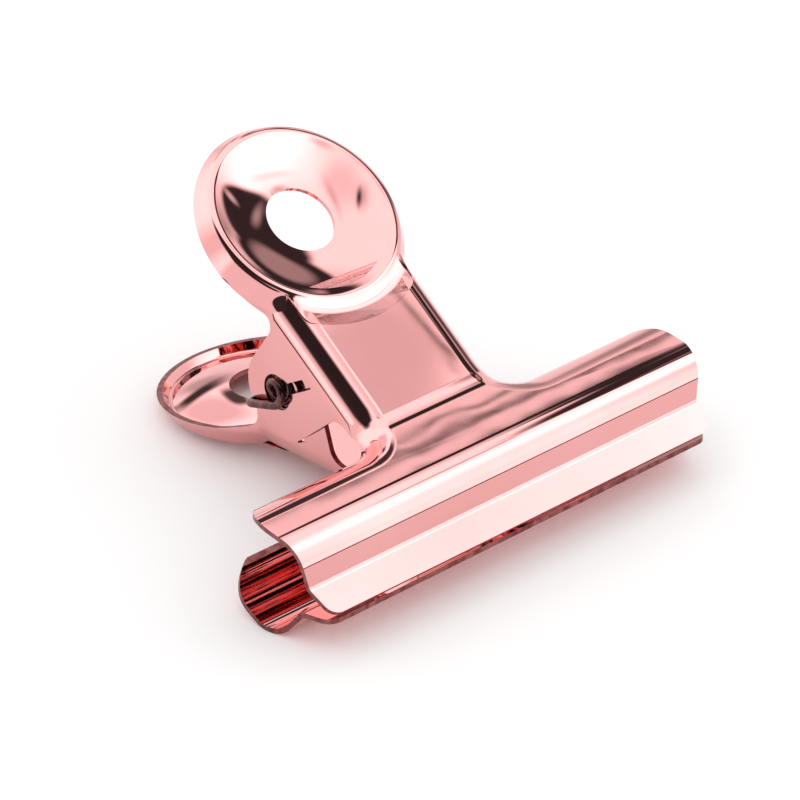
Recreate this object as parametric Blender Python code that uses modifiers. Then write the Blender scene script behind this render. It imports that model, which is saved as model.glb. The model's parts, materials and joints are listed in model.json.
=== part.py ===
"""A pinch clip: two identical stamped plates that hinge on the coil of a torsion spring.

Each plate is drawn flat first, with x across the clip, s along its outer face from the mouth
and h out of that face. It is then bent along its side profile. The clip's own frame has x across,
v from the mouth towards the pads and w out of the middle plane between the plates. At the end the
clip is laid down on its lower plate.
"""

import math

import bmesh
import bpy
from mathutils import Matrix, Vector

MM = 0.001

# Sheet and fits
SHEET = 0.5 * MM
FIT_GAP = 0.3 * MM

# Side profile of a plate's outer face, from the mouth: lengths between corners, and slopes
LIP_LENGTH = 3.1 * MM
LIP_SLOPE = math.radians(20.0)
RISER_LENGTH = 4.5 * MM
RISER_SLOPE = math.radians(68.0)
SHOULDER_LENGTH = 9.5 * MM
SHOULDER_SLOPE = math.radians(-9.4)
PANEL_SLOPE = math.radians(19.0)
STEP_RADIUS = 0.6 * MM
BEAD_RADIUS = 2.95 * MM
FOOT_RADIUS = 4.0 * MM

# Jaw, seen from above
MOUTH_WIDTH = 47.4 * MM
JAW_FLARE = math.radians(11.0)
JAW_WIDEST_REACH = 9.0 * MM
MOUTH_CORNER_RADIUS = 1.4 * MM
JAW_SIDE_RADIUS = 4.5 * MM
SHOULDER_CORNER_RADIUS = 4.6 * MM
SHOULDER_DEPTH = 8.5 * MM
REAR_FLANGE_DEPTH = 1.6 * MM

# Neck and its ears
NECK_WIDTH = 17.1 * MM
EDGE_RADIUS = 2.8 * MM
NECK_FILLET_RADIUS = 3.0 * MM
NECK_FLANGE_DEPTH = 2.5 * MM
PIVOT_REACH = 25.7 * MM
EAR_RADIUS = 4.1 * MM
EAR_FRONT_RADIUS = 3.9 * MM
EAR_LEAN = 2.4 * MM
EAR_FRONT_FILLET = 1.8 * MM
EAR_REAR_FILLET = 1.4 * MM
EAR_REAR_FLANGE_DEPTH = 2.6 * MM
ARCH_STEP_START = 0.28
ARCH_STEP_END = 0.56
ARCH_STEP_FILLET = 1.0 * MM

# Finger pad
PAD_REACH = 21.9 * MM
PAD_RADIUS = 10.9 * MM
PAD_FILLET_RADIUS = 2.0 * MM
PAD_RIM_DEPTH = 1.9 * MM
PAD_TIP_DEPTH = 0.9 * MM
RIM_RAMP_END = 4.5 * MM
RIM_WIDTH = 2.03 * MM
WALL_FLARE = math.radians(58.0)
RIDGE_HEIGHT = 0.3 * MM
RIDGE_RADIUS = 0.8 * MM
DISH_EDGE_SLOPE = math.radians(20.0)
DISH_DEPTH = 1.2 * MM
PAD_HOLE_RADIUS = 3.45 * MM

# Torsion spring, whose coil is the hinge
WIRE_DIAMETER = 0.8 * MM
COIL_MEAN_RADIUS = 1.1 * MM
COIL_PITCH = 1.27 * MM
KEY_SLOT_REACH = 5.3 * MM
KEY_SLOT_TURN = math.radians(133.0)
LEG_TURN = math.radians(-50.0)
HOOK_BEND_RADIUS = 0.6 * MM

# How far solids that join reach into each other
WALL_LAP = 0.05 * MM

# The most of a straight side that the arcs at its two ends take up
ARC_SHARE = 0.95

# Facets
BEND_STEPS = 5
CORNER_STEPS = 6
PAD_STEPS = 60
COIL_STEPS = 9

EAR_HOLE_RADIUS = COIL_MEAN_RADIUS + WIRE_DIAMETER / 2 + FIT_GAP
SLOT_HALF_WIDTH = WIRE_DIAMETER / 2 + FIT_GAP / 2
OUTER_EAR_X = NECK_WIDTH / 2
INNER_EAR_X = OUTER_EAR_X - SHEET - FIT_GAP
RIDGE_X = PAD_RADIUS - RIM_WIDTH + RIDGE_RADIUS * math.sin(DISH_EDGE_SLOPE)

# How far construction solids reach: past the jaw's sides, below the plate, and past everything
WIDE = MOUTH_WIDTH
DEEP = PAD_RADIUS + EAR_RADIUS
FAR = 2 * (PIVOT_REACH + PAD_REACH)


def clear_scene():
    for item in list(bpy.data.objects):
        bpy.data.objects.remove(item, do_unlink=True)


def new_collection(name, hidden=False):
    collection = bpy.data.collections.new(name)
    bpy.context.scene.collection.children.link(collection)
    collection.hide_render = hidden
    return collection


def new_material(name, colour, roughness):
    material = bpy.data.materials.new(name)
    material.use_nodes = True
    shader = material.node_tree.nodes["Principled BSDF"]
    shader.inputs["Base Color"].default_value = (*colour, 1.0)
    shader.inputs["Metallic"].default_value = 1.0
    shader.inputs["Roughness"].default_value = roughness
    return material


def direction(angle):
    return Vector((math.cos(angle), math.sin(angle)))


def left_of(vector):
    return Vector((-vector.y, vector.x))


# Side profile

def bent_profile():
    """The outer face's straight runs and bends, each with the length s at which it starts."""
    corners = [
        (LIP_LENGTH, LIP_SLOPE, STEP_RADIUS),
        (RISER_LENGTH, RISER_SLOPE, BEAD_RADIUS),
        (SHOULDER_LENGTH, SHOULDER_SLOPE, FOOT_RADIUS),
        (FAR, PANEL_SLOPE, 0.0),
    ]
    point = Vector((0.0, FIT_GAP / 2 + SHEET / math.cos(LIP_SLOPE)))
    runs = []
    start = 0.0
    used = 0.0
    for number, (length, slope, radius) in enumerate(corners):
        ahead = direction(slope)
        turn = corners[number + 1][1] - slope if number + 1 < len(corners) else 0.0
        cut = radius * abs(math.tan(turn / 2))
        runs.append({"start": start, "point": point + ahead * used, "slope": slope, "turn": 0.0})
        start += length - used - cut
        point = point + ahead * length
        if turn:
            runs.append({"start": start, "point": point - ahead * cut, "slope": slope, "turn": turn,
                         "length": radius * abs(turn), "radius": radius})
            start += radius * abs(turn)
        used = cut
    return runs


def corner_start(runs, slope):
    """The length s that a run with this slope would have at its virtual first corner."""
    at = next(number for number, run in enumerate(runs) if run["slope"] == slope and not run["turn"])
    before = runs[at - 1]
    return runs[at]["start"] - before["radius"] * abs(math.tan(before["turn"] / 2))


def bend_stations(runs):
    stations = []
    for run in runs:
        if run["turn"]:
            stations += [run["start"] + run["length"] * step / BEND_STEPS for step in range(BEND_STEPS + 1)]
    return stations


def bent(runs, s, h):
    """The point (v, w) for a length s along the outer face and a height h out of it."""
    run = next((r for r in reversed(runs) if s >= r["start"]), runs[0])
    along = s - run["start"]
    if run["turn"]:
        side = math.copysign(1.0, run["turn"])
        centre = run["point"] + left_of(direction(run["slope"])) * run["radius"] * side
        slope = run["slope"] + run["turn"] * along / run["length"]
        return centre - left_of(direction(slope)) * (run["radius"] * side - h)
    ahead = direction(run["slope"])
    return run["point"] + ahead * along + left_of(ahead) * h


# Outlines and solids

def arc(centre, radius, first, last, steps=CORNER_STEPS):
    return [centre + direction(first + (last - first) * step / steps) * radius for step in range(steps + 1)]


def rounded(corners):
    """A closed outline from corners (x, y, radius), with an arc in place of each rounded corner.

    Two arcs that would meet on the side between them shrink to leave some of it straight.
    """
    count = len(corners)
    places = [Vector(corner[:2]) for corner in corners]
    sides = [places[number] - places[number - 1] for number in range(count)]
    halves = [(-sides[number]).angle(sides[(number + 1) % count]) / 2 for number in range(count)]
    reaches = [corner[2] / math.tan(half) for corner, half in zip(corners, halves)]
    points = []
    for number, corner in enumerate(places):
        if not reaches[number]:
            points.append(corner)
            continue
        following = (number + 1) % count
        rooms = [sides[number].length / (reaches[number] + reaches[number - 1]),
                 sides[following].length / (reaches[number] + reaches[following])]
        reach = reaches[number] * min(1.0, ARC_SHARE * min(rooms))
        back = -sides[number].normalized()
        ahead = sides[following].normalized()
        centre = corner + (back + ahead).normalized() * reach / math.cos(halves[number])
        first = corner + back * reach - centre
        turn = math.copysign(math.pi - 2 * halves[number], back.x * ahead.y - back.y * ahead.x)
        base = math.atan2(first.y, first.x)
        points += arc(centre, reach * math.tan(halves[number]), base, base - turn)
    return points


def link_mesh(name, mesh_data, collection):
    item = bpy.data.objects.new(name, mesh_data)
    collection.objects.link(item)
    if collection.hide_render:
        item.hide_render = True
        item.display_type = "WIRE"
    return item


def loft(name, rings, collection):
    """A closed solid through rings that have the same number of points."""
    shape = bmesh.new()
    loops = [[shape.verts.new(point) for point in ring] for ring in rings]
    shape.faces.new(loops[0])
    shape.faces.new(loops[-1])
    for lower, upper in zip(loops, loops[1:]):
        for number in range(len(lower)):
            following = (number + 1) % len(lower)
            shape.faces.new((lower[number], lower[following], upper[following], upper[number]))
    bmesh.ops.recalc_face_normals(shape, faces=shape.faces)
    mesh = bpy.data.meshes.new(name)
    shape.to_mesh(mesh)
    shape.free()
    return link_mesh(name, mesh, collection)


def prism(name, outline, axis, low, high, collection):
    """A flat outline pushed along h (its points are x, s) or along x (its points are s, h)."""
    if axis == "h":
        rings = [[(p.x, p.y, level) for p in outline] for level in (low, high)]
    else:
        rings = [[(level, p.x, p.y) for p in outline] for level in (low, high)]
    return loft(name, rings, collection)


def drum(name, centre_s, radius, collection, low=-FAR):
    """An upright cylinder on the pad's axis, its corners midway between those of the turned pad."""
    centre = Vector((0.0, centre_s))
    turns = [2 * math.pi * (step + 0.5) / PAD_STEPS for step in range(PAD_STEPS)]
    return prism(name, [centre + direction(turn) * radius for turn in turns], "h", low, FAR, collection)


def combine(item, other, operation):
    cut = item.modifiers.new(operation.title(), "BOOLEAN")
    cut.operation = operation
    cut.object = other
    cut.solver = "EXACT"


def evaluated_mesh(item):
    depsgraph = bpy.context.evaluated_depsgraph_get()
    return bpy.data.meshes.new_from_object(item.evaluated_get(depsgraph))


# Flat plate

def flare_start(inset):
    """Where the ridge's round crest runs out into the pad's flared wall, as (radius, h)."""
    ridge = Vector((RIDGE_X, RIDGE_HEIGHT - RIDGE_RADIUS))
    return ridge + direction(math.pi / 2 - WALL_FLARE) * (RIDGE_RADIUS - inset)


def pad_wall(h, inset):
    """The radius of the pad's ridge or flared wall at a height h, within an inset."""
    start = flare_start(inset)
    if h >= start.y:
        up = h - RIDGE_HEIGHT + RIDGE_RADIUS
        return RIDGE_X + math.sqrt(max(0.0, (RIDGE_RADIUS - inset) ** 2 - up ** 2))
    return min(PAD_RADIUS - inset, start.x + (start.y - h) / math.tan(WALL_FLARE))


def neck_outline(inset, wall, pad_s, rear_s):
    """Plan of the flanged neck, in from its outer walls by the inset and rounded into jaw and pad.

    The ear on the right lies inside the other plate's, and the ear on the left lies outside it.
    """
    centre_distance = wall + PAD_FILLET_RADIUS + inset
    sides = []
    for edge in (INNER_EAR_X, OUTER_EAR_X):
        jaw_centre = Vector((edge + NECK_FILLET_RADIUS, rear_s + NECK_FILLET_RADIUS))
        pad_x = edge + PAD_FILLET_RADIUS
        pad_rise = math.sqrt(centre_distance ** 2 - pad_x ** 2)
        pad_centre = Vector((pad_x, pad_s - pad_rise))
        touch = math.atan2(pad_rise, -pad_x)
        half = [Vector((WIDE - inset, inset - DEEP)), Vector((WIDE - inset, rear_s - inset))]
        half += arc(jaw_centre, NECK_FILLET_RADIUS + inset, -math.pi / 2, -math.pi)
        half += arc(pad_centre, PAD_FILLET_RADIUS + inset, math.pi, touch)
        pad = Vector((0.0, pad_s))
        half += arc(pad, wall, touch - math.pi, math.pi / 2, PAD_STEPS // 3)[1:]
        sides.append(half)
    mirrored = [Vector((-point.x, point.y)) for point in sides[1]]
    return sides[0] + mirrored[-2::-1]


def tray(name, inset, pad_s, rear_s, collection):
    """The flanged neck's body within an inset: a flat top, a rolled edge and upright walls."""
    radius = EDGE_RADIUS - inset
    levels = []
    for step in range(CORNER_STEPS + 1):
        angle = math.pi / 2 * step / CORNER_STEPS
        levels.append((inset + radius * (1 - math.sin(angle)), -inset - radius * (1 - math.cos(angle))))
    levels.append((inset, inset - DEEP))
    rings = []
    for reach, level in levels:
        outline = neck_outline(reach, pad_wall(level, inset) - WALL_LAP, pad_s, rear_s)
        rings.append([(p.x, p.y, level) for p in outline])
    return loft(name, rings, collection)


def pad_sections():
    """The pad's outer and inner sections without its hole, each from the middle out and down the rim."""
    ridge = Vector((RIDGE_X, RIDGE_HEIGHT - RIDGE_RADIUS))
    top = ridge + left_of(direction(DISH_EDGE_SLOPE)) * RIDGE_RADIUS
    run = top.x - PAD_HOLE_RADIUS + SHEET
    middle_slope = 2 * math.atan(DISH_DEPTH / run) - DISH_EDGE_SLOPE
    bowl = run / (math.sin(DISH_EDGE_SLOPE) - math.sin(middle_slope))
    bowl_centre = top + left_of(direction(DISH_EDGE_SLOPE)) * bowl
    crest = (math.pi / 2 + DISH_EDGE_SLOPE, math.pi / 2 - WALL_FLARE)
    sections = []
    for inset in (0.0, SHEET):
        dish = arc(bowl_centre, bowl + inset, middle_slope - math.pi / 2, DISH_EDGE_SLOPE - math.pi / 2)
        over = arc(ridge, RIDGE_RADIUS - inset, *crest)[1:]
        floor = inset - DEEP - 2 * SHEET
        wall = PAD_RADIUS - inset
        start = flare_start(inset)
        flare_end = start.y - (wall - start.x) * math.tan(WALL_FLARE)
        middle = [Vector((0.0, floor)), Vector((0.0, dish[0].y))]
        sections.append(middle + dish + over + [Vector((wall, flare_end)), Vector((wall, floor))])
    return sections


def turned(name, section, pad_s, collection):
    """A closed section turned about the pad's upright axis."""
    shape = bmesh.new()
    points = [shape.verts.new((p.x, 0.0, p.y)) for p in section]
    for first, second in zip(points[1:], points[2:] + points[:1]):
        shape.edges.new((first, second))
    mesh = bpy.data.meshes.new(name)
    shape.to_mesh(mesh)
    shape.free()
    item = link_mesh(name, mesh, collection)
    item.location = (0.0, pad_s, 0.0)
    screw = item.modifiers.new("Turn", "SCREW")
    screw.steps = PAD_STEPS
    screw.render_steps = PAD_STEPS
    screw.use_merge_vertices = True
    screw.merge_threshold = 0.00001
    return item


def free_edge(panel_s, pad_s, rear_s, pivot_s, pivot_h):
    """Side outline of everything below the flanges' free edges, ear lobes included."""
    lobe_low = pivot_h - EAR_RADIUS
    ear_s = pivot_s - EAR_RADIUS - EAR_LEAN
    arch = ear_s - rear_s
    return rounded([
        (-FAR, -REAR_FLANGE_DEPTH, 0.0),
        (rear_s + ARCH_STEP_START * arch, -REAR_FLANGE_DEPTH, ARCH_STEP_FILLET),
        (rear_s + ARCH_STEP_END * arch, -NECK_FLANGE_DEPTH, ARCH_STEP_FILLET),
        (ear_s, -NECK_FLANGE_DEPTH, EAR_FRONT_FILLET),
        (pivot_s - EAR_RADIUS, lobe_low, EAR_FRONT_RADIUS),
        (pivot_s + EAR_RADIUS, lobe_low, EAR_RADIUS),
        (pivot_s + EAR_RADIUS, -EAR_REAR_FLANGE_DEPTH, EAR_REAR_FILLET),
        (pad_s - RIM_RAMP_END, -PAD_RIM_DEPTH, EAR_REAR_FILLET),
        (pad_s + PAD_RADIUS, -PAD_TIP_DEPTH, 0.0),
        (pad_s + FAR, -PAD_TIP_DEPTH, 0.0),
        (pad_s + FAR, -FAR, 0.0),
        (-FAR, -FAR, 0.0),
    ])


def plan_outline(rear_s):
    """Plan of the whole plate: the flared jaw with its rounded corners, and room for the rest."""
    half_mouth = MOUTH_WIDTH / 2
    half_shoulder = half_mouth + JAW_WIDEST_REACH * math.tan(JAW_FLARE)
    right = [
        (half_mouth, 0.0, MOUTH_CORNER_RADIUS),
        (half_shoulder, JAW_WIDEST_REACH, JAW_SIDE_RADIUS),
        (half_shoulder, rear_s + WALL_LAP, SHOULDER_CORNER_RADIUS),
        (PAD_RADIUS + SHEET, rear_s + WALL_LAP, 0.0),
        (PAD_RADIUS + SHEET, FAR, 0.0),
    ]
    left = [(-x, y, radius) for x, y, radius in reversed(right)]
    return rounded(right + left)


def key_outline(pivot_s, pivot_h):
    """Side outline of an ear's keyhole: the coil's hole with the slot that lets its leg in."""
    centre = Vector((pivot_s, pivot_h))
    reach = math.sqrt(EAR_HOLE_RADIUS ** 2 - SLOT_HALF_WIDTH ** 2)
    gap = math.atan2(SLOT_HALF_WIDTH, reach)
    turn = KEY_SLOT_TURN - PANEL_SLOPE
    points = arc(centre, EAR_HOLE_RADIUS, turn + gap, turn + 2 * math.pi - gap, 4 * CORNER_STEPS)
    out = direction(turn) * KEY_SLOT_REACH
    side = left_of(direction(turn)) * SLOT_HALF_WIDTH
    return points + [centre + out - side, centre + out + side]


def flat_plate(runs, cutters):
    """A whole plate before it is bent, as a mesh in (x, s, h)."""
    panel_s = corner_start(runs, PANEL_SLOPE)
    rear_s = corner_start(runs, SHOULDER_SLOPE) + SHOULDER_DEPTH
    pad_s = panel_s + PAD_REACH
    foot = bent(runs, panel_s + FAR / 2, 0.0) - direction(PANEL_SLOPE) * FAR / 2
    offset = Vector((PIVOT_REACH, 0.0)) - foot
    pivot_s = panel_s + offset.dot(direction(PANEL_SLOPE))
    pivot_h = offset.dot(left_of(direction(PANEL_SLOPE)))

    pad_outside, pad_inside = pad_sections()
    plate = tray("plate_outside", 0.0, pad_s, rear_s, cutters)
    combine(plate, drum("pad_room", pad_s, RIDGE_X, cutters), "DIFFERENCE")
    combine(plate, turned("pad_outside", pad_outside, pad_s, cutters), "UNION")
    inside = tray("plate_inside", SHEET, pad_s, rear_s, cutters)
    combine(inside, drum("throat_end", pad_s, RIDGE_X - SHEET / 2, cutters), "DIFFERENCE")
    combine(inside, turned("pad_inside", pad_inside, pad_s, cutters), "UNION")
    combine(plate, inside, "DIFFERENCE")
    combine(plate, drum("pad_hole", pad_s, PAD_HOLE_RADIUS, cutters), "DIFFERENCE")

    edge = free_edge(panel_s, pad_s, rear_s, pivot_s, pivot_h)
    below = prism("below_free_edge", edge, "x", -FAR, FAR, cutters)
    room_low = -PAD_RIM_DEPTH - DISH_DEPTH
    room = drum("dish_room", pad_s, PAD_RADIUS - RIM_WIDTH, cutters, room_low)
    combine(below, room, "DIFFERENCE")
    combine(plate, below, "DIFFERENCE")
    plan = prism("plan", plan_outline(rear_s), "h", -FAR, FAR, cutters)
    combine(plate, plan, "INTERSECT")
    keys = prism("keyholes", key_outline(pivot_s, pivot_h), "x", -FAR, FAR, cutters)
    combine(plate, keys, "DIFFERENCE")
    notch_at = Vector((pivot_s, pivot_h)) + direction(LEG_TURN - PANEL_SLOPE) * EAR_RADIUS
    notch = [notch_at + direction(2 * math.pi * step / 16) * (WIRE_DIAMETER / 2 + FIT_GAP) for step in range(16)]
    combine(plate, prism("hook_notch", notch, "x", -FAR, -INNER_EAR_X + FIT_GAP / 2, cutters), "DIFFERENCE")
    return evaluated_mesh(plate)


def bend_plate(flat, runs, name):
    """Cuts the flat plate at the bends' stations and moves its points onto the side profile."""
    shape = bmesh.new()
    shape.from_mesh(flat)
    for station in bend_stations(runs):
        geometry = shape.verts[:] + shape.edges[:] + shape.faces[:]
        bmesh.ops.bisect_plane(
            shape, geom=geometry, dist=1e-7, plane_co=(0.0, station, 0.0), plane_no=(0.0, 1.0, 0.0)
        )
    bmesh.ops.triangulate(shape, faces=shape.faces[:])
    for vertex in shape.verts:
        point = bent(runs, vertex.co.y, vertex.co.z)
        vertex.co = (vertex.co.x, point.x, point.y)
    bmesh.ops.remove_doubles(shape, verts=shape.verts[:], dist=2e-6)
    bmesh.ops.dissolve_degenerate(shape, edges=shape.edges[:], dist=2e-6)
    mesh = bpy.data.meshes.new(name)
    shape.to_mesh(mesh)
    shape.free()
    mesh.shade_smooth()
    mesh.set_sharp_from_angle(angle=math.radians(35.0))
    return mesh


# Spring

def spring_route():
    """The wire's middle line: a hooked leg, the coil through all four ears, and the other leg."""
    leg_x = OUTER_EAR_X + FIT_GAP + WIRE_DIAMETER / 2
    spread = math.acos(COIL_MEAN_RADIUS / EAR_RADIUS)
    start = LEG_TURN - spread
    turns = round(2 * leg_x / COIL_PITCH + start / math.pi) - start / math.pi
    count = round(turns * COIL_STEPS)
    coil = []
    for step in range(count + 1):
        part = step / count
        around = direction(start - 2 * math.pi * turns * part) * COIL_MEAN_RADIUS
        coil.append(Vector((-leg_x + 2 * leg_x * part, around.x, around.y)))
    end = direction(LEG_TURN) * EAR_RADIUS
    tangent = left_of(direction(start))
    hook = []
    for step in range(4, -1, -1):
        angle = math.pi / 2 * step / 4
        back = end - tangent * HOOK_BEND_RADIUS * (1 - math.sin(angle))
        hook.append(Vector((-leg_x + HOOK_BEND_RADIUS * (1 - math.cos(angle)), back.x, back.y)))
    tip = Vector((-OUTER_EAR_X + SHEET, end.x, end.y))
    leg = [tip] + hook
    other = [Vector((-p.x, p.y, -p.z)) for p in reversed(leg)]
    return [p + Vector((0.0, PIVOT_REACH, 0.0)) for p in leg + coil + other]


def least_gap(route):
    """The least room between two stretches of the wire that lie over a wire's width apart along it."""
    lengths = [0.0]
    for first, second in zip(route, route[1:]):
        lengths.append(lengths[-1] + (second - first).length)
    least = math.inf
    for i, first in enumerate(route):
        for j in range(i + 1, len(route)):
            if lengths[j] - lengths[i] > 4 * WIRE_DIAMETER:
                least = min(least, (route[j] - first).length)
    return least - WIRE_DIAMETER


def make_spring(collection, material):
    route = spring_route()
    print("least gap of the spring to itself, mm:", round(least_gap(route) / MM, 3))
    curve = bpy.data.curves.new("torsion_spring", "CURVE")
    curve.dimensions = "3D"
    curve.bevel_depth = WIRE_DIAMETER / 2
    curve.bevel_resolution = 1
    curve.use_fill_caps = True
    line = curve.splines.new("POLY")
    line.points.add(len(route) - 1)
    for point, place in zip(line.points, route):
        point.co = (*place, 1.0)
    curve.materials.append(material)
    item = bpy.data.objects.new("torsion_spring", curve)
    collection.objects.link(item)
    return item


# Assembly

def rest_tilt(runs):
    """The slope of the line that touches a plate's bead and its pad's ridge."""
    bead = next(r for r in runs if r["turn"] < 0)
    bead_centre = bead["point"] - left_of(direction(bead["slope"])) * bead["radius"]
    pad_s = corner_start(runs, PANEL_SLOPE) + PAD_REACH
    ridge_centre = bent(runs, pad_s + RIDGE_X, RIDGE_HEIGHT - RIDGE_RADIUS)
    between = ridge_centre - bead_centre
    lean = math.asin((RIDGE_RADIUS - BEAD_RADIUS) / between.length)
    return math.atan2(between.y, between.x) + lean


def main():
    clear_scene()
    clip = new_collection("pinch_clip")
    cutters = new_collection("cutters", hidden=True)
    plating = new_material("rose_gold_plating", (0.83, 0.42, 0.38), 0.12)
    wire = new_material("spring_wire", (0.80, 0.46, 0.42), 0.2)

    runs = bent_profile()
    plate_mesh = bend_plate(flat_plate(runs, cutters), runs, "stamped_plate")
    plate_mesh.materials.clear()
    plate_mesh.materials.append(plating)
    upper = link_mesh("upper_plate", plate_mesh, clip)
    lower = link_mesh("lower_plate", plate_mesh, clip)
    spring = make_spring(clip, wire)

    lay_down = Matrix.Rotation(rest_tilt(runs), 4, "X")
    half_turn = Matrix.Rotation(math.pi, 4, "Y")
    lowest = min((lay_down @ half_turn @ v.co).z for v in plate_mesh.vertices)
    reaches = [(lay_down @ turn @ v.co).y for turn in (Matrix(), half_turn) for v in plate_mesh.vertices]
    middle = (min(reaches) + max(reaches)) / 2
    frame = bpy.data.objects.new("clip_frame", None)
    clip.objects.link(frame)
    frame.matrix_world = Matrix.Translation((0.0, -middle, -lowest)) @ lay_down

    pivot = Vector((0.0, PIVOT_REACH, 0.0))
    hinge = bpy.data.objects.new("hinge_axis", None)
    clip.objects.link(hinge)
    hinge.parent = frame
    hinge.location = pivot
    upper.parent = hinge
    upper.location = -pivot
    lower.parent = frame
    lower.rotation_euler = (0.0, math.pi, 0.0)
    spring.parent = frame
    bpy.context.view_layer.update()
    print("hinge axis, m:", [round(value, 6) for value in hinge.matrix_world.translation])
    print("rest tilt, degrees:", round(math.degrees(rest_tilt(runs)), 3))


main()
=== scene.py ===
import json
import math

import bmesh
import bpy
from mathutils import Matrix, Vector


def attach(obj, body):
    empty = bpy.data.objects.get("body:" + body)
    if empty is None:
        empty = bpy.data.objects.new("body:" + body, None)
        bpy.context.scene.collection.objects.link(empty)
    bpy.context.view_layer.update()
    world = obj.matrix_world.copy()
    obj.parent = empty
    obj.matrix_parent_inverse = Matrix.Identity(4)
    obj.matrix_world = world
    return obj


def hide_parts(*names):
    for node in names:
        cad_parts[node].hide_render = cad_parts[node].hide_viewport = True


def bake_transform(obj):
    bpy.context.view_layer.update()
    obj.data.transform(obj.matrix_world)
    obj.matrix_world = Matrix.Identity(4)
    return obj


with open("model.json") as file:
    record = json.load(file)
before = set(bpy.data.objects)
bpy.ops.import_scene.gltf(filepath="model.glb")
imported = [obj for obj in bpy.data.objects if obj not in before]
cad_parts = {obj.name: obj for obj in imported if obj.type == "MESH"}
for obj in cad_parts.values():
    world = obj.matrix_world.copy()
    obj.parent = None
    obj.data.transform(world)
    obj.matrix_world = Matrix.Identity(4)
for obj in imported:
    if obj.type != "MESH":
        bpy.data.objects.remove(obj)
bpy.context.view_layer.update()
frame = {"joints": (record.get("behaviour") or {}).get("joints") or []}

# Stamped plates
# The clip's two jaws are one stamping used twice: 0.5 mm spring steel, blanked, drawn, bent
# and then plated. Each is drawn here as a flat blank in (x, s, h), with s along its outer face
# from the mouth and h out of that face, and is then bent to its side profile.
MM = 0.001
SHEET = 0.5 * MM
FIT_GAP = 0.3 * MM

LIP_LENGTH = 3.1 * MM
LIP_SLOPE = math.radians(20.0)
RISER_LENGTH = 4.5 * MM
RISER_SLOPE = math.radians(68.0)
SHOULDER_LENGTH = 9.5 * MM
SHOULDER_SLOPE = math.radians(-9.4)
PANEL_SLOPE = math.radians(19.0)
STEP_RADIUS = 0.6 * MM
BEAD_RADIUS = 2.95 * MM
FOOT_RADIUS = 4.0 * MM

MOUTH_WIDTH = 47.4 * MM
JAW_FLARE = math.radians(11.0)
JAW_WIDEST_REACH = 9.0 * MM
MOUTH_CORNER_RADIUS = 1.4 * MM
JAW_SIDE_RADIUS = 4.5 * MM
SHOULDER_CORNER_RADIUS = 4.6 * MM
SHOULDER_DEPTH = 8.5 * MM
REAR_FLANGE_DEPTH = 1.6 * MM

NECK_WIDTH = 17.1 * MM
EDGE_RADIUS = 2.8 * MM
REAR_ROLL_WIDTH = 3.9 * MM
NECK_FILLET_RADIUS = 3.0 * MM
NECK_FLANGE_DEPTH = 2.5 * MM
PIVOT_REACH = 25.7 * MM
EAR_RADIUS = 4.1 * MM
EAR_FRONT_RADIUS = 3.9 * MM
EAR_LEAN = 2.4 * MM
EAR_FRONT_FILLET = 1.8 * MM
EAR_REAR_FILLET = 1.4 * MM
EAR_REAR_FLANGE_DEPTH = 2.6 * MM
ARCH_STEP_START = 0.28
ARCH_STEP_END = 0.56
ARCH_STEP_FILLET = 1.0 * MM

PAD_REACH = 21.9 * MM
PAD_RADIUS = 10.9 * MM
PAD_FILLET_RADIUS = 2.0 * MM
PAD_RIM_DEPTH = 1.9 * MM
PAD_TIP_DEPTH = 0.9 * MM
RIM_RAMP_END = 4.5 * MM
WALL_FLARE = math.radians(58.0)
RIDGE_HEIGHT = 0.3 * MM
RIDGE_RADIUS = 0.8 * MM
RIDGE_FOOT = 2.3 * MM
RIM_WIDTH = 2.03 * MM
DISH_EDGE_SLOPE = math.radians(20.0)
DISH_DEPTH = 1.2 * MM
PAD_HOLE_RADIUS = 3.45 * MM

WIRE_DIAMETER = 0.8 * MM
COIL_MEAN_RADIUS = 1.1 * MM
KEY_SLOT_REACH = 5.3 * MM
KEY_SLOT_TURN = math.radians(133.0)
LEG_TURN = math.radians(-50.0)

EAR_HOLE_RADIUS = COIL_MEAN_RADIUS + WIRE_DIAMETER / 2 + FIT_GAP
SLOT_HALF_WIDTH = WIRE_DIAMETER / 2 + FIT_GAP / 2
OUTER_EAR_X = NECK_WIDTH / 2
INNER_EAR_X = OUTER_EAR_X - SHEET - FIT_GAP
WIDE = MOUTH_WIDTH
DEEP = PAD_RADIUS + EAR_RADIUS
FAR = 2 * (PIVOT_REACH + PAD_REACH)

BEND_STEPS = 14
ARC_STEPS = 12
PAD_HALF_STEPS = 64
FOOT_STEPS = 12
FOOT_BLEND = math.radians(14.0)
ROLL_STEPS = 16
FRONT_STEPS = 48
RING_STEPS = 14
PLAN_LAP = 0.05 * MM
WELD_DISTANCE = 2e-6
PLATE_FOLD_ANGLE = math.radians(32.0)


def direction(angle):
    return Vector((math.cos(angle), math.sin(angle)))


def left_of(vector):
    return Vector((-vector.y, vector.x))


def arc(centre, radius, first, last, steps=ARC_STEPS):
    angles = [first + (last - first) * step / steps for step in range(steps + 1)]
    return [centre + direction(angle) * radius for angle in angles]


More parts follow.
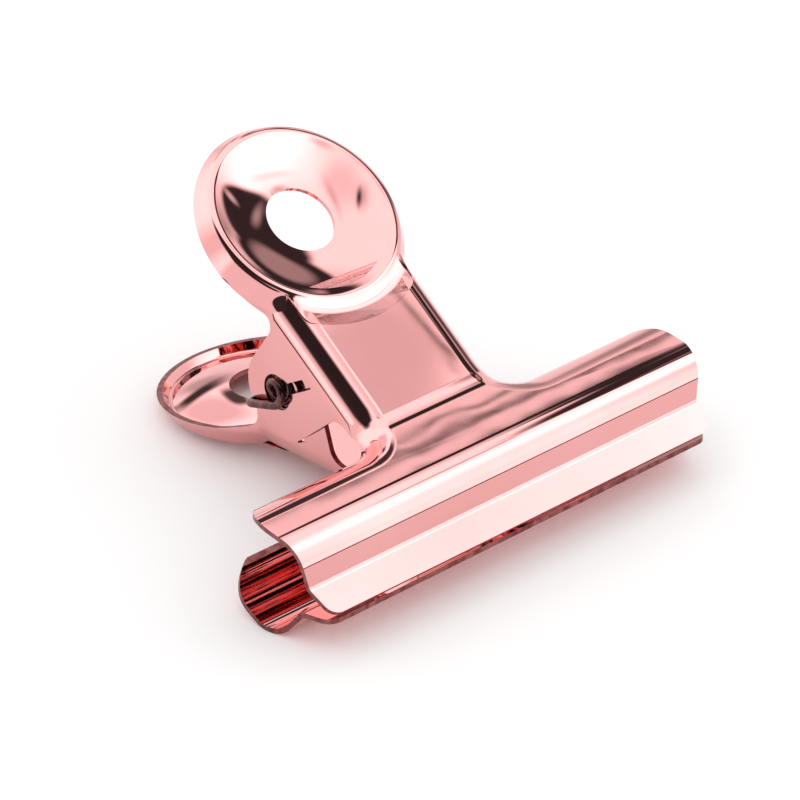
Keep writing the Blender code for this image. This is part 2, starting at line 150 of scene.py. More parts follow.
def bent_profile():
    """The outer face's straight runs and bends, each with the length s at which it starts."""
    corners = [
        (LIP_LENGTH, LIP_SLOPE, STEP_RADIUS),
        (RISER_LENGTH, RISER_SLOPE, BEAD_RADIUS),
        (SHOULDER_LENGTH, SHOULDER_SLOPE, FOOT_RADIUS),
        (FAR, PANEL_SLOPE, 0.0),
    ]
    point = Vector((0.0, FIT_GAP / 2 + SHEET / math.cos(LIP_SLOPE)))
    runs = []
    start = 0.0
    used = 0.0
    for number, (length, slope, radius) in enumerate(corners):
        ahead = direction(slope)
        turn = corners[number + 1][1] - slope if number + 1 < len(corners) else 0.0
        cut = radius * abs(math.tan(turn / 2))
        runs.append({"start": start, "point": point + ahead * used, "slope": slope, "turn": 0.0})
        start += length - used - cut
        point = point + ahead * length
        if turn:
            runs.append({"start": start, "point": point - ahead * cut, "slope": slope, "turn": turn,
                         "length": radius * abs(turn), "radius": radius})
            start += radius * abs(turn)
        used = cut
    return runs


def corner_start(slope):
    """The length s that a run with this slope would have at its virtual first corner."""
    at = next(number for number, run in enumerate(runs) if run["slope"] == slope and not run["turn"])
    before = runs[at - 1]
    return runs[at]["start"] - before["radius"] * abs(math.tan(before["turn"] / 2))


def bent(s, h):
    """The point (v, w) for a length s along the outer face and a height h out of it."""
    run = next((r for r in reversed(runs) if s >= r["start"]), runs[0])
    along = s - run["start"]
    if run["turn"]:
        side = math.copysign(1.0, run["turn"])
        centre = run["point"] + left_of(direction(run["slope"])) * run["radius"] * side
        slope = run["slope"] + run["turn"] * along / run["length"]
        return centre - left_of(direction(slope)) * (run["radius"] * side - h)
    ahead = direction(run["slope"])
    return run["point"] + ahead * along + left_of(ahead) * h


runs = bent_profile()
panel_s = corner_start(PANEL_SLOPE)
rear_s = corner_start(SHOULDER_SLOPE) + SHOULDER_DEPTH
pad_s = panel_s + PAD_REACH
foot = bent(panel_s + FAR / 2, 0.0) - direction(PANEL_SLOPE) * FAR / 2
pivot_offset = Vector((PIVOT_REACH, 0.0)) - foot
pivot_s = panel_s + pivot_offset.dot(direction(PANEL_SLOPE))
pivot_h = pivot_offset.dot(left_of(direction(PANEL_SLOPE)))


RIDGE_X = PAD_RADIUS - RIM_WIDTH + RIDGE_RADIUS * math.sin(DISH_EDGE_SLOPE)
ridge = Vector((RIDGE_X, RIDGE_HEIGHT - RIDGE_RADIUS))


def wall_radius_at(h):
    """How far out the pad's outer face is at a height h: on the ridge, or on the flared wall."""
    flare_start = ridge + direction(math.pi / 2 - WALL_FLARE) * RIDGE_RADIUS
    if h >= flare_start.y:
        return ridge.x + math.sqrt(RIDGE_RADIUS ** 2 - (h - ridge.y) ** 2)
    return min(PAD_RADIUS, flare_start.x + (flare_start.y - h) / math.tan(WALL_FLARE))


def smooth(part):
    part = min(1.0, max(0.0, part))
    return part * part * (3 - 2 * part)


def rim_line(inset, h):
    """One level line of the rolled edge, from the jaw round the neck and the pad and back. The roll
    is wider along the jaw's rear, and narrows to the neck's in the fillet between them."""
    pad_reach = wall_radius_at(h)
    pad = Vector((0.0, pad_s))
    rear_inset = inset * REAR_ROLL_WIDTH / EDGE_RADIUS
    sides = []
    for edge in (INNER_EAR_X, OUTER_EAR_X):
        jaw_centre = Vector((edge + NECK_FILLET_RADIUS, rear_s + NECK_FILLET_RADIUS))
        pad_x = edge + PAD_FILLET_RADIUS
        rise = math.sqrt((pad_reach + PAD_FILLET_RADIUS + inset) ** 2 - pad_x ** 2)
        touch = math.atan2(rise, -pad_x)
        half = [Vector((WIDE, rear_s - rear_inset))]
        for step in range(ARC_STEPS + 1):
            reach = rear_inset + (inset - rear_inset) * smooth(step / ARC_STEPS)
            out = direction(-math.pi / 2 * (1 + step / ARC_STEPS))
            half.append(jaw_centre + out * (NECK_FILLET_RADIUS + reach))
        half += arc(Vector((pad_x, pad_s - rise)), PAD_FILLET_RADIUS + inset, math.pi, touch)
        half += arc(pad, pad_reach, touch - math.pi, math.pi / 2, PAD_HALF_STEPS)[1:]
        sides.append(half)
    mirrored = [Vector((-point.x, point.y)) for point in sides[1]]
    return sides[0] + mirrored[-2::-1]


def pad_rings():
    """The pad's section over the ridge and into the dish, from outside in, as pairs of points
    (radius, height): round the back, and in front, where the ridge runs out into the neck."""
    first = math.asin(-ridge.y / RIDGE_RADIUS)
    joint = math.pi / 2 - DISH_EDGE_SLOPE
    start = wall_radius_at(0.0) + RIDGE_FOOT
    end = ridge + direction(joint) * RIDGE_RADIUS
    rings = []
    for number, back in enumerate(arc(ridge, RIDGE_RADIUS, first, joint, FOOT_STEPS)):
        part = number / FOOT_STEPS
        slope = math.tan(DISH_EDGE_SLOPE) * (start - end.x)
        height = end.y * smooth(part) + slope * (part ** 3 - part ** 2)
        rings.append((back, Vector((start + (end.x - start) * part, height))))
    over = arc(ridge, RIDGE_RADIUS, joint, math.pi / 2 + DISH_EDGE_SLOPE, RING_STEPS)
    top = over[-1]
    run = top.x - PAD_HOLE_RADIUS + SHEET
    middle_slope = 2 * math.atan(DISH_DEPTH / run) - DISH_EDGE_SLOPE
    bowl = run / (math.sin(DISH_EDGE_SLOPE) - math.sin(middle_slope))
    bowl_centre = top + left_of(direction(DISH_EDGE_SLOPE)) * bowl
    hole_angle = -math.acos((PAD_HOLE_RADIUS - bowl_centre.x) / bowl)
    dish = arc(bowl_centre, bowl, DISH_EDGE_SLOPE - math.pi / 2, hole_angle, RING_STEPS)
    return rings + [(point, point) for point in over[1:] + dish[1:]]


def blank_skin():
    """The outer skin of a whole plate before it is bent: neck and jaw top, pad, roll and walls."""
    skin = bmesh.new()
    levels = []
    for step in range(ROLL_STEPS + 1):
        angle = math.pi / 2 * step / ROLL_STEPS
        levels.append((EDGE_RADIUS * (1 - math.sin(angle)), -EDGE_RADIUS * (1 - math.cos(angle))))
    levels += [(0.0, -EDGE_RADIUS - MM), (0.0, -DEEP)]
    line = rim_line(*levels[0])
    row = [skin.verts.new((p.x, p.y, levels[0][1])) for p in line]
    edges = [skin.edges.new(pair) for pair in zip(row, row[1:])]
    top_row = row
    for inset, h in levels[1:]:
        grown = bmesh.ops.extrude_edge_only(skin, edges=edges)["geom"]
        edges = [item for item in grown if isinstance(item, bmesh.types.BMEdge)]
        above = {}
        for vert in [item for item in grown if isinstance(item, bmesh.types.BMVert)]:
            neighbours = [edge.other_vert(vert) for edge in vert.link_edges]
            above[next(other for other in neighbours if other not in grown)] = vert
        row = [above[vert] for vert in row]
        for vert, place in zip(row, rim_line(inset, h)):
            vert.co = (place.x, place.y, h)

    back_first = 2 * (ARC_STEPS + 1)
    back = top_row[back_first:len(top_row) - back_first]
    first = math.atan2(back[0].co.y - pad_s, back[0].co.x)
    last = math.atan2(back[-1].co.y - pad_s, back[-1].co.x)

    def place(vert, ring):
        turn = math.atan2(vert.co.y - pad_s, vert.co.x)
        share = smooth(min(first - turn, turn - last) / FOOT_BLEND)
        point = ring[0].lerp(ring[1], share)
        spot = direction(turn) * point.x
        vert.co = (spot.x, pad_s + spot.y, point.y)

    rings = pad_rings()
    front_places = arc(Vector((0.0, pad_s)), PAD_RADIUS, first, last, FRONT_STEPS)[1:-1]
    front = [skin.verts.new((p.x, p.y, 0.0)) for p in front_places]
    for vert in front:
        place(vert, rings[0])
    mouth = [skin.verts.new((-WIDE, -DEEP, 0.0)), skin.verts.new((WIDE, -DEEP, 0.0))]
    panel = top_row[:back_first + 1] + front + top_row[len(top_row) - back_first - 1:] + mouth
    skin.faces.new(panel)
    loop = back + front[::-1]
    edges = [skin.edges.get(pair) or skin.edges.new(pair) for pair in zip(loop, loop[1:] + loop[:1])]
    for ring in rings[1:]:
        grown = bmesh.ops.extrude_edge_only(skin, edges=edges)["geom"]
        edges = [item for item in grown if isinstance(item, bmesh.types.BMEdge)]
        verts = [item for item in grown if isinstance(item, bmesh.types.BMVert)]
        for vert in verts:
            place(vert, ring)
    bmesh.ops.recalc_face_normals(skin, faces=skin.faces[:])
    if max(skin.faces, key=lambda face: face.calc_area()).normal.z < 0:
        bmesh.ops.reverse_faces(skin, faces=skin.faces[:])
    return skin


def to_object(name, shape):
    mesh = bpy.data.meshes.new(name)
    shape.to_mesh(mesh)
    shape.free()
    item = bpy.data.objects.new(name, mesh)
    bpy.context.scene.collection.objects.link(item)
    return item


def rounded(corners):
    """A closed outline from corners (x, y, radius), with an arc in place of each rounded corner."""
    points = []
    for number, (x, y, radius) in enumerate(corners):
        corner = Vector((x, y))
        if not radius:
            points.append(corner)
            continue
        back = (Vector(corners[number - 1][:2]) - corner).normalized()
        ahead = (Vector(corners[(number + 1) % len(corners)][:2]) - corner).normalized()
        half = back.angle(ahead) / 2
        centre = corner + (back + ahead).normalized() * radius / math.sin(half)
        first = corner + back * radius / math.tan(half) - centre
        turn = math.copysign(math.pi - 2 * half, back.x * ahead.y - back.y * ahead.x)
        base = math.atan2(first.y, first.x)
        points += arc(centre, radius, base, base - turn)
    return points


def cutter(name, outline, axis, low, high):
    """A flat outline pushed along h (its points are x, s) or along x (its points are s, h)."""
    shape = bmesh.new()
    places = [(p.x, p.y, low) if axis == "h" else (low, p.x, p.y) for p in outline]
    face = shape.faces.new([shape.verts.new(place) for place in places])
    grown = bmesh.ops.extrude_face_region(shape, geom=[face])["geom"]
    push = (0.0, 0.0, high - low) if axis == "h" else (high - low, 0.0, 0.0)
    bmesh.ops.translate(shape, verts=[v for v in grown if isinstance(v, bmesh.types.BMVert)], vec=push)
    bmesh.ops.recalc_face_normals(shape, faces=shape.faces[:])
    # The cut faces take the sheared-edge colour, a thin-plated edge darkened as painted shade along
    # each outline.
    for face in shape.faces:
        face.material_index = 1  # what a cutter leaves on the plate is a sheared edge
    return to_object(name, shape)


def free_edge():
    """Side outline of everything below the flanges' free edges, ear lobes included."""
    lobe_low = pivot_h - EAR_RADIUS
    ear_s = pivot_s - EAR_RADIUS - EAR_LEAN
    arch = ear_s - rear_s
    return rounded([
        (-FAR, -REAR_FLANGE_DEPTH, 0.0),
        (rear_s + ARCH_STEP_START * arch, -REAR_FLANGE_DEPTH, ARCH_STEP_FILLET),
        (rear_s + ARCH_STEP_END * arch, -NECK_FLANGE_DEPTH, ARCH_STEP_FILLET),
        (ear_s, -NECK_FLANGE_DEPTH, EAR_FRONT_FILLET),
        (pivot_s - EAR_RADIUS, lobe_low, EAR_FRONT_RADIUS),
        (pivot_s + EAR_RADIUS, lobe_low, EAR_RADIUS),
        (pivot_s + EAR_RADIUS, -EAR_REAR_FLANGE_DEPTH, EAR_REAR_FILLET),
        (pad_s - RIM_RAMP_END, -PAD_RIM_DEPTH, EAR_REAR_FILLET),
        (pad_s + PAD_RADIUS, -PAD_TIP_DEPTH, 0.0),
        (pad_s + FAR, -PAD_TIP_DEPTH, 0.0),
        (pad_s + FAR, -FAR, 0.0),
        (-FAR, -FAR, 0.0),
    ])


def plan_outline():
    """Plan of the whole plate: the flared jaw with its rounded corners, and room for the rest."""
    half_mouth = MOUTH_WIDTH / 2
    half_shoulder = half_mouth + JAW_WIDEST_REACH * math.tan(JAW_FLARE)
    right = [
        (half_mouth, 0.0, MOUTH_CORNER_RADIUS),
        (half_shoulder, JAW_WIDEST_REACH, JAW_SIDE_RADIUS),
        (half_shoulder, rear_s + PLAN_LAP, SHOULDER_CORNER_RADIUS),
        (PAD_RADIUS + SHEET, rear_s + PLAN_LAP, 0.0),
        (PAD_RADIUS + SHEET, FAR, 0.0),
    ]
    left = [(-x, y, radius) for x, y, radius in reversed(right)]
    return rounded(right + left)


def key_outline():
    """Side outline of an ear's keyhole: the coil's hole with the slot that lets its leg in."""
    centre = Vector((pivot_s, pivot_h))
    reach = math.sqrt(EAR_HOLE_RADIUS ** 2 - SLOT_HALF_WIDTH ** 2)
    gap = math.atan2(SLOT_HALF_WIDTH, reach)
    turn = KEY_SLOT_TURN - PANEL_SLOPE
    points = arc(centre, EAR_HOLE_RADIUS, turn + gap, turn + 2 * math.pi - gap, 4 * ARC_STEPS)
    out = direction(turn) * KEY_SLOT_REACH
    side = left_of(direction(turn)) * SLOT_HALF_WIDTH
    return points + [centre + out - side, centre + out + side]


def formed_plate():
    """A stamped plate in the clip's frame, from its blank skin."""
    skin = blank_skin()
    bmesh.ops.solidify(skin, geom=skin.faces[:], thickness=SHEET)
    bmesh.ops.recalc_face_normals(skin, faces=skin.faces[:])
    plate = to_object("blank", skin)
    below = cutter("below", free_edge(), "x", -FAR, FAR)
    pad = Vector((0.0, pad_s))
    room_points = arc(pad, PAD_RADIUS - RIM_WIDTH, 0.0, 2 * math.pi, 4 * ARC_STEPS)[1:]
    room = cutter("dish_room", room_points, "h", -PAD_RIM_DEPTH - DISH_DEPTH, FAR)
    notch_at = Vector((pivot_s, pivot_h)) + direction(LEG_TURN - PANEL_SLOPE) * EAR_RADIUS
    notch_points = arc(notch_at, WIRE_DIAMETER / 2 + FIT_GAP, 0.0, 2 * math.pi, 2 * ARC_STEPS)[1:]
    steps = [
        (below, room, "DIFFERENCE"),
        (plate, below, "DIFFERENCE"),
        (plate, cutter("plan", plan_outline(), "h", -FAR, FAR), "INTERSECT"),
        (plate, cutter("keyholes", key_outline(), "x", -FAR, FAR), "DIFFERENCE"),
        (plate, cutter("hook_notch", notch_points, "x", -FAR, FIT_GAP / 2 - INNER_EAR_X), "DIFFERENCE"),
    ]
    shapes = list(dict.fromkeys(part for step in steps for part in step[:2]))
    for item in shapes:
        item.data.materials.append(plating)
        item.data.materials.append(sheared_edge_painted_shade)
    for item, other, operation in steps:
        cut = item.modifiers.new(operation.title(), "BOOLEAN")
        cut.operation = operation
        cut.object = other
        cut.solver = "EXACT"
    depsgraph = bpy.context.evaluated_depsgraph_get()
    flat = bpy.data.meshes.new_from_object(plate.evaluated_get(depsgraph))
    for item in shapes:
        bpy.data.objects.remove(item, do_unlink=True)

    shape = bmesh.new()
    shape.from_mesh(flat)
    for run in runs:
        for step in range(BEND_STEPS + 1) if run["turn"] else ():
            station = run["start"] + run["length"] * step / BEND_STEPS
            geometry = shape.verts[:] + shape.edges[:] + shape.faces[:]
            bmesh.ops.bisect_plane(
                shape, geom=geometry, dist=1e-7,
                plane_co=(0.0, station, 0.0), plane_no=(0.0, 1.0, 0.0)
            )
    bmesh.ops.remove_doubles(shape, verts=shape.verts[:], dist=WELD_DISTANCE)
    for vert in shape.verts:
        place = bent(vert.co.y, vert.co.z)
        vert.co = (vert.co.x, place.x, place.y)
    return shape


bead = next(run for run in runs if run["turn"] < 0)
bead_centre = bead["point"] - left_of(direction(bead["slope"])) * bead["radius"]
between = bent(pad_s + ridge.x, ridge.y) - bead_centre
rest_tilt = math.atan2(between.y, between.x) + math.asin((RIDGE_RADIUS - BEAD_RADIUS) / between.length)
lay_down = Matrix.Rotation(rest_tilt, 4, "X")
hinge_place = Vector(frame["joints"][0]["pos_m"])
clip_to_world = Matrix.Translation(hinge_place - lay_down @ Vector((0.0, PIVOT_REACH, 0.0))) @ lay_down


def add_node(tree, kind, settings=None, links=None):
    """Adds a node, sets its properties and sockets, and links its inputs from other sockets. A
    socket is named, or given by its number."""
    node = tree.nodes.new(kind)
    for name, value in (settings or {}).items():
        if isinstance(name, int) or name in node.inputs:
            node.inputs[name].default_value = value
        else:
            setattr(node, name, value)
    for name, source in (links or {}).items():
        tree.links.new(source, node.inputs[name])
    return node


def linear(code):
    """An sRGB hex colour as a linear RGBA tuple."""
    parts = [int(code[place:place + 2], 16) / 255 for place in (0, 2, 4)]
    channels = [p / 12.92 if p <= 0.04045 else ((p + 0.055) / 1.055) ** 2.4 for p in parts]
    return (*channels, 1.0)


# Rose gold electroplate: a bright copper-gold layer a few micrometres thick over polished steel,
# so it mirrors like its base, with faint die waves and a slight drift of tint.
TINT_DRIFT = 100 / 9 * MM
GLOSS_DRIFT = 2.5 * MM
DIE_WAVE = 6.25 * MM
plating = bpy.data.materials.new("rose_gold_electroplate")
plating.use_nodes = True
tree = plating.node_tree
shader = tree.nodes["Principled BSDF"]
shader.inputs["Metallic"].default_value = 1.0
place = {"Vector": add_node(tree, "ShaderNodeTexCoord").outputs["Object"]}
tint = add_node(tree, "ShaderNodeTexNoise", {"Scale": 1 / TINT_DRIFT, "Detail": 3.0}, place)
ramp = add_node(tree, "ShaderNodeValToRGB", None, {"Fac": tint.outputs["Fac"]})
ramp.color_ramp.elements[0].position = 0.3
ramp.color_ramp.elements[0].color = linear("E8A3A1")
ramp.color_ramp.elements[1].position = 0.7
ramp.color_ramp.elements[1].color = linear("ECAAA8")
tree.links.new(ramp.outputs["Color"], shader.inputs["Base Color"])
wear = add_node(tree, "ShaderNodeTexNoise", {"Scale": 1 / GLOSS_DRIFT, "Detail": 4.0}, place)
gloss_range = {"To Min": 0.02, "To Max": 0.05}
gloss = add_node(tree, "ShaderNodeMapRange", gloss_range, {"Value": wear.outputs["Fac"]})
tree.links.new(gloss.outputs["Result"], shader.inputs["Roughness"])
waves = add_node(tree, "ShaderNodeTexNoise", {"Scale": 1 / DIE_WAVE, "Detail": 1.0}, place)
wave_height = {"Strength": 0.012, "Distance": 0.001}
bump = add_node(tree, "ShaderNodeBump", wave_height, {"Height": waves.outputs["Fac"]})
tree.links.new(bump.outputs["Normal"], shader.inputs["Normal"])

# Sheared edge: the sheet's cut face, where the plating is thin over torn steel, darkened further as
# painted shade: its dark red stands in for the shade along each edge and gives each outline a fine dark
# red line.
TEAR_GRAIN = 5 / 7 * MM
sheared_edge_painted_shade = bpy.data.materials.new("sheared_edge_with_painted_shade")
sheared_edge_painted_shade.use_nodes = True
tree = sheared_edge_painted_shade.node_tree
shader = tree.nodes["Principled BSDF"]
shader.inputs["Metallic"].default_value = 1.0
place = {"Vector": add_node(tree, "ShaderNodeTexCoord").outputs["Object"]}
tear = add_node(tree, "ShaderNodeTexNoise", {"Scale": 1 / TEAR_GRAIN, "Detail": 3.0}, place)
ramp = add_node(tree, "ShaderNodeValToRGB", None, {"Fac": tear.outputs["Fac"]})
ramp.color_ramp.elements[0].position = 0.35
ramp.color_ramp.elements[0].color = linear("6E3B3A")
ramp.color_ramp.elements[1].position = 0.65
ramp.color_ramp.elements[1].color = linear("96605D")
tree.links.new(ramp.outputs["Color"], shader.inputs["Base Color"])
gloss_range = {"To Min": 0.28, "To Max": 0.42}
gloss = add_node(tree, "ShaderNodeMapRange", gloss_range, {"Value": tear.outputs["Fac"]})
tree.links.new(gloss.outputs["Result"], shader.inputs["Roughness"])

plate_shape = formed_plate()
plate_shape.transform(clip_to_world)
upper = to_object("upper_plate_formed", plate_shape)
lower = bpy.data.objects.new("lower_plate_formed", upper.data.copy())
bpy.context.scene.collection.objects.link(lower)
lower.data.transform(clip_to_world @ Matrix.Rotation(math.pi, 4, "Y") @ clip_to_world.inverted())
for plate, body, node in ((upper, "upper", "upper_plate"), (lower, "lower", "lower_plate")):
    plate.data.materials.append(plating)
    plate.data.materials.append(sheared_edge_painted_shade)
    plate.data.shade_smooth()
    plate.data.set_sharp_from_angle(angle=PLATE_FOLD_ANGLE)
    even = plate.modifiers.new("Even normals", "WEIGHTED_NORMAL")
    even.keep_sharp = True
    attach(plate, body)
    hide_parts(node)

# Torsion spring
# One length of 0.8 mm spring wire, wound into the coil that is the clip's hinge. Each leg runs
# from the coil along an ear and hooks over its edge.
COIL_PITCH = 1.27 * MM
COIL_STEPS = 40
HOOK_BEND_RADIUS = 0.6 * MM
WIRE_END_ANGLE = math.radians(50.0)


def wire_route():
    """The wire's middle line: a hooked leg, the coil through all four ears, and the other leg."""
    leg_x = OUTER_EAR_X + FIT_GAP + WIRE_DIAMETER / 2
    spread = math.acos(COIL_MEAN_RADIUS / EAR_RADIUS)
    start = LEG_TURN - spread
    turns = round(2 * leg_x / COIL_PITCH + start / math.pi) - start / math.pi
    count = round(turns * COIL_STEPS)
    coil = []
    for step in range(count + 1):
        part = step / count
        around = direction(start - 2 * math.pi * turns * part) * COIL_MEAN_RADIUS
        coil.append(Vector((-leg_x + 2 * leg_x * part, around.x, around.y)))
    end = direction(LEG_TURN) * EAR_RADIUS
    tangent = left_of(direction(start))
    hook = []
    for step in range(ARC_STEPS, -1, -1):
        angle = math.pi / 2 * step / ARC_STEPS
        back = end - tangent * HOOK_BEND_RADIUS * (1 - math.sin(angle))
        hook.append(Vector((-leg_x + HOOK_BEND_RADIUS * (1 - math.cos(angle)), back.x, back.y)))
    tip = Vector((-OUTER_EAR_X + SHEET, end.x, end.y))
    leg = [tip] + hook
    other = [Vector((-p.x, p.y, -p.z)) for p in reversed(leg)]
    return [p + Vector((0.0, PIVOT_REACH, 0.0)) for p in leg + coil + other]


# The same rose gold over drawn spring wire, darkened as painted shade for the coil's place in the
# shaded neck and keyholes: the eye gets a dark wire with soft rose glints.
DRAWING_GRAIN = 10 / 9 * MM
wire_painted_shade = bpy.data.materials.new("rose_gold_wire_with_painted_shade")
wire_painted_shade.use_nodes = True
tree = wire_painted_shade.node_tree
shader = tree.nodes["Principled BSDF"]
shader.inputs["Metallic"].default_value = 1.0
place = {"Vector": add_node(tree, "ShaderNodeTexCoord").outputs["Object"]}
grain = add_node(tree, "ShaderNodeTexNoise", {"Scale": 1 / DRAWING_GRAIN, "Detail": 4.0}, place)
ramp = add_node(tree, "ShaderNodeValToRGB", None, {"Fac": grain.outputs["Fac"]})
ramp.color_ramp.elements[0].position = 0.35
ramp.color_ramp.elements[0].color = linear("452C2C")
ramp.color_ramp.elements[1].position = 0.65
ramp.color_ramp.elements[1].color = linear("7C5856")
tree.links.new(ramp.outputs["Color"], shader.inputs["Base Color"])
gloss_range = {"To Min": 0.18, "To Max": 0.34}
gloss = add_node(tree, "ShaderNodeMapRange", gloss_range, {"Value": grain.outputs["Fac"]})
tree.links.new(gloss.outputs["Result"], shader.inputs["Roughness"])

curve = bpy.data.curves.new("wire_line", "CURVE")
curve.dimensions = "3D"
curve.bevel_depth = WIRE_DIAMETER / 2
curve.bevel_resolution = 4
curve.use_fill_caps = True
route = wire_route()
line = curve.splines.new("POLY")
line.points.add(len(route) - 1)
for point, place in zip(line.points, route):
    point.co = (*place, 1.0)
wire_line = bpy.data.objects.new("wire_line", curve)
bpy.context.scene.collection.objects.link(wire_line)
depsgraph = bpy.context.evaluated_depsgraph_get()
wire_mesh = bpy.data.meshes.new_from_object(wire_line.evaluated_get(depsgraph))
bpy.data.objects.remove(wire_line, do_unlink=True)
wire_mesh.transform(clip_to_world)
wire_mesh.shade_smooth()
wire_mesh.set_sharp_from_angle(angle=WIRE_END_ANGLE)
wire_mesh.materials.clear()
wire_mesh.materials.append(wire_painted_shade)
spring = bpy.data.objects.new("torsion_spring_wire", wire_mesh)
bpy.context.scene.collection.objects.link(spring)
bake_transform(spring)
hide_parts("torsion_spring")

# Floor, light and camera
# A white paper floor, lit by an even white sky that also gives the clip's shadow. The mirror
# finish sees a cloth tent with bright and dark cards in place of that sky, set so that it
# shows the reflections that the photographed clip has.
FLOOR_HALF_WIDTH = 3.0
SKY_LEVEL = 1.08
floor_shape = bmesh.new()
bmesh.ops.create_grid(floor_shape, x_segments=1, y_segments=1, size=FLOOR_HALF_WIDTH)
floor = to_object("floor", floor_shape)
paper = bpy.data.materials.new("white_paper")
paper.use_nodes = True
shader = paper.node_tree.nodes["Principled BSDF"]
shader.inputs["Base Color"].default_value = linear("FFFFFF")
shader.inputs["Roughness"].default_value = 0.9
shader.inputs["Specular IOR Level"].default_value = 0.0
floor.data.materials.append(paper)

TENT_RADIUS = 300.0 * MM
TENT_WALL_LEVEL = 1.1
# Each card: name, azimuth, elevation, roll, half width, half height and soft edge in degrees,
# brightness (at 1 the plating shows its written colour), and how square its corners are (2 is an
# oval). A later card covers an earlier one.
TENT_CARDS = [
    ("overhead", 0, 90, 0, 33, 33, 6, 1.75, 2),
    ("bright_right", 100, 46, 0, 40, 26, 10, 1.9, 4),
    ("far_glow", 72, 36, 0, 8, 11, 3, 1.1, 3),
    ("far_rose", 65, 15, 0, 5, 5, 3, 0.65, 2),
    ("far_dark_band", 69, 21, 22, 9, 2.6, 1.5, 0.06, 4),
    ("far_dark_edge", 61, 30, 0, 2.2, 6, 1, 0.1, 3),
    ("bright_front", -45, 44, 0, 24, 15, 8, 2.75, 4),
    ("bright_front_low", -56, 16, 0, 9, 20, 6, 2.1, 6),
    ("front_strip", -32, 49.6, 35, 1.4, 7, 1, 2.1, 4),
    ("bright_middle", -4, 56, 0, 13, 7, 5, 1.8, 4),
    ("soft_overhead", -55, 68, 0, 9, 5, 4, 1.25, 2),
    ("dim_streak", -35, 65, 8, 4, 1.0, 1.5, 1.0, 2),
    ("lens_halo", -52, 75, 0, 5, 2.2, 2, 0.9, 2),
    ("lens", -48, 74, 0, 3.6, 0.8, 0.8, 0.05, 2),
    ("dark_front", -6, 42, 0, 10.6, 12, 1.2, 0.04, 3),
    ("dark_front_right", 13, 40, 0, 9.6, 11.5, 1.2, 0.04, 3),
    ("rose_glow", 11.5, 40, 0, 7.0, 7.0, 2.0, 0.45, 2),
    ("front_streak", -11, 45.5, 48, 1.1, 3.6, 1.2, 0.5, 2),
    ("low_streak", -13, 34.5, -20, 1.0, 2.5, 1.0, 0.9, 2),
    ("dark_right", 8, 16, 32, 4, 13, 3, 0.12, 4),
    ("dim_right", 42, 16, 0, 3, 18, 2, 0.45, 4),
    ("dark_rear", 34, 45.5, -41, 5.6, 8, 1.5, 0.04, 4),
    ("dark_rear_low", 50.5, 36, 0, 3.6, 6.5, 1.0, 0.06, 5),
    ("rear_strip", 38.5, 40.5, 36, 8, 0.8, 0.15, 1.25, 6),
    ("rear_seam_high", 38.5, 40.65, 36, 8, 0.13, 0.06, 0.05, 6),
    ("rear_seam_low", 38.5, 40.05, 36, 8, 0.08, 0.05, 0.08, 6),
    ("dark_left", -150, 52, 0, 29, 22, 6, 0.03, 4),
    ("dark_left_low", -150, 21, -27, 26, 15, 1.5, 0.04, 6),
    ("dark_ridge", -98, 42, 0, 17, 17, 3, 0.04, 4),
    ("bright_left", 172, 12, 0, 9, 8, 3, 1.8, 4),
    ("neck_glow", -22.5, 54, 0, 2.6, 2.6, 1.2, 0.95, 2),
    ("neck_edge", -20.4, 52.3, 41, 1.5, 0.11, 0.06, 0.06, 4),
]


def card_mask(tree, place, card):
    """How much of a card shows at a point of the tent: 1 on the card, 0 off it, soft between."""
    azimuth, elevation, roll, half_width, half_height, edge = [math.radians(v) for v in card[1:7]]
    power = card[8]
    turn = Matrix.Rotation(azimuth, 3, "Z") @ Matrix.Rotation(-elevation, 3, "Y")
    turn = turn @ Matrix.Rotation(roll, 3, "X")

    def math_node(operation, *values):
        settings = {n: v for n, v in enumerate(values) if isinstance(v, float)}
        links = {n: v for n, v in enumerate(values) if not isinstance(v, float)}
        node = add_node(tree, "ShaderNodeMath", {"operation": operation, **settings}, links)
        return node.outputs["Value"]

    def distance_along(axis):
        settings = {"operation": "DOT_PRODUCT", 1: turn @ axis}
        return add_node(tree, "ShaderNodeVectorMath", settings, {0: place}).outputs["Value"]

    ahead = distance_along(Vector((1.0, 0.0, 0.0)))
    depth = math_node("MAXIMUM", ahead, TENT_RADIUS / 100)
    powers = []
    sides = ((Vector((0.0, 1.0, 0.0)), half_width), (Vector((0.0, 0.0, 1.0)), half_height))
    for axis, half in sides:
        share = math_node("DIVIDE", distance_along(axis / math.tan(half)), depth)
        size = math_node("ABSOLUTE", share)
        powers.append(math_node("POWER", size, float(power)))
    root = math_node("POWER", math_node("ADD", *powers), 1 / power)
    soft = edge / min(half_width, half_height)
    limits = {"interpolation_type": "SMOOTHSTEP", "From Min": 1 + soft, "From Max": 1 - min(soft, 0.9)}
    mask = add_node(tree, "ShaderNodeMapRange", limits, {"Value": root})
    return mask.outputs["Result"]


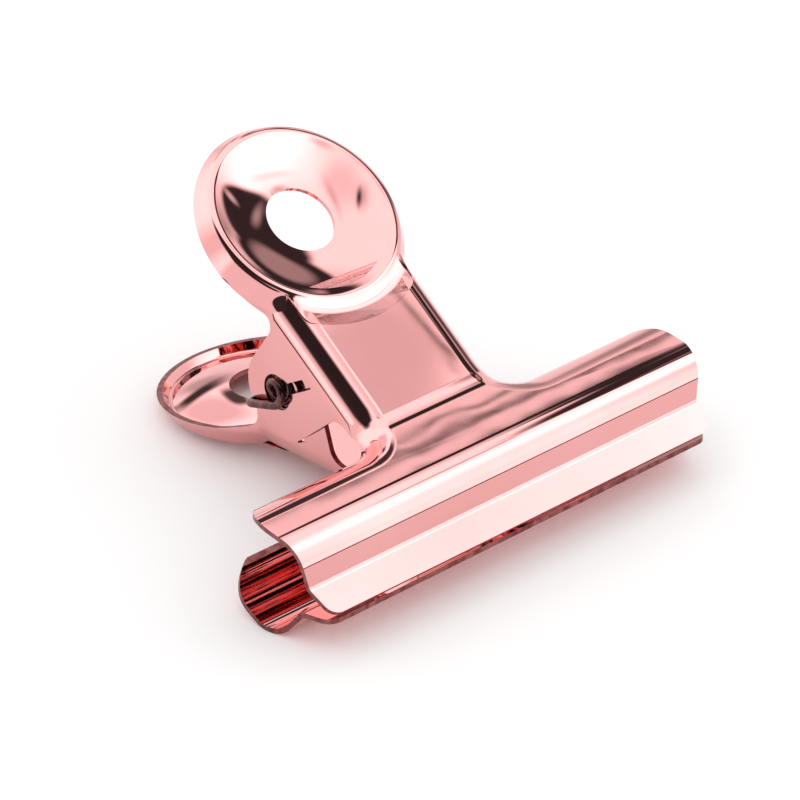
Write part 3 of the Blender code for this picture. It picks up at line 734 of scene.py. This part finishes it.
tent_shape = bmesh.new()
bmesh.ops.create_uvsphere(tent_shape, u_segments=96, v_segments=48, radius=TENT_RADIUS)
bmesh.ops.bisect_plane(
    tent_shape, geom=tent_shape.verts[:] + tent_shape.edges[:] + tent_shape.faces[:],
    plane_co=(0.0, 0.0, 0.0), plane_no=(0.0, 0.0, -1.0), clear_outer=True
)
tent = to_object("light_tent", tent_shape)
cloth = bpy.data.materials.new("light_tent_cloth")
cloth.use_nodes = True
cloth_tree = cloth.node_tree
cloth_tree.nodes.clear()
tent_place = add_node(cloth_tree, "ShaderNodeTexCoord").outputs["Object"]
level = add_node(cloth_tree, "ShaderNodeValue").outputs["Value"]
level.default_value = TENT_WALL_LEVEL
for card in TENT_CARDS:
    mask = card_mask(cloth_tree, tent_place, card)
    settings = {"data_type": "FLOAT", "B": card[7]}
    blend = add_node(cloth_tree, "ShaderNodeMix", settings, {"Factor": mask, "A": level})
    level = blend.outputs["Result"]
glow = add_node(cloth_tree, "ShaderNodeEmission", None, {"Strength": level})
add_node(cloth_tree, "ShaderNodeOutputMaterial", None, {"Surface": glow.outputs["Emission"]})
tent.data.materials.append(cloth)

CARD_LIFT = 0.3 * MM


def floor_card(name, strength, low, high):
    """A card lying on the floor, from one corner (x, y) in mm to the other, just clear of it."""
    shape = bmesh.new()
    bmesh.ops.create_grid(shape, x_segments=1, y_segments=1, size=0.5)
    size = Vector(high) - Vector(low)
    middle = (Vector(low) + Vector(high)) / 2
    place = (middle.x * MM, middle.y * MM, CARD_LIFT)
    bmesh.ops.scale(shape, verts=shape.verts[:], vec=(size.x * MM, size.y * MM, 1.0))
    bmesh.ops.translate(shape, verts=shape.verts[:], vec=place)
    surface = bpy.data.materials.new(name)
    surface.use_nodes = True
    tree = surface.node_tree
    tree.nodes.clear()
    shine = add_node(tree, "ShaderNodeEmission", {"Strength": strength})
    add_node(tree, "ShaderNodeOutputMaterial", None, {"Surface": shine.outputs["Emission"]})
    item = to_object(name, shape)
    item.data.materials.append(surface)
    return item


white_card = floor_card("white_floor_card", 2.0, (-60, -280), (280, -45.5))
black_strip = floor_card("black_floor_strip", 0.12, (-60, -45.5), (160, -40.5))
black_patch = floor_card("black_floor_patch", 0.08, (-290, 0), (-115, 140))
for item in (tent, white_card, black_strip, black_patch):
    for ray in ("camera", "diffuse", "transmission", "volume_scatter", "shadow"):
        setattr(item, "visible_" + ray, False)

world = bpy.data.worlds.new("studio")
bpy.context.scene.world = world
world.use_nodes = True
sky = world.node_tree.nodes["Background"]
sky.inputs["Color"].default_value = linear("FFFFFF")
sky.inputs["Strength"].default_value = SKY_LEVEL

CAMERA_AZIMUTH = math.radians(-50.15)
CAMERA_ELEVATION = math.radians(41.02)
CAMERA_ROLL = math.radians(13.33)
CAMERA_DISTANCE = 421.61 * MM
CAMERA_TARGET = Vector((0.946, 18.911, 0.0)) * MM
CAMERA_LENS = 203.06
CAMERA_SENSOR = 36.0
CAMERA_NEAR = 10 * MM
camera_data = bpy.data.cameras.new("camera")
camera_data.lens = CAMERA_LENS
camera_data.sensor_width = CAMERA_SENSOR
camera_data.clip_start = CAMERA_NEAR
camera = bpy.data.objects.new("camera", camera_data)
bpy.context.scene.collection.objects.link(camera)
tip = Matrix.Rotation(math.pi / 2 - CAMERA_ELEVATION, 4, "X")
turn = Matrix.Rotation(CAMERA_AZIMUTH, 4, "Z") @ tip
camera.matrix_world = (
    clip_to_world @ Matrix.Translation(CAMERA_TARGET) @ turn @ Matrix.Rotation(CAMERA_ROLL, 4, "Z")
    @ Matrix.Translation((0.0, 0.0, CAMERA_DISTANCE))
)
bpy.context.scene.camera = camera
bpy.context.scene.view_settings.view_transform = "Standard"
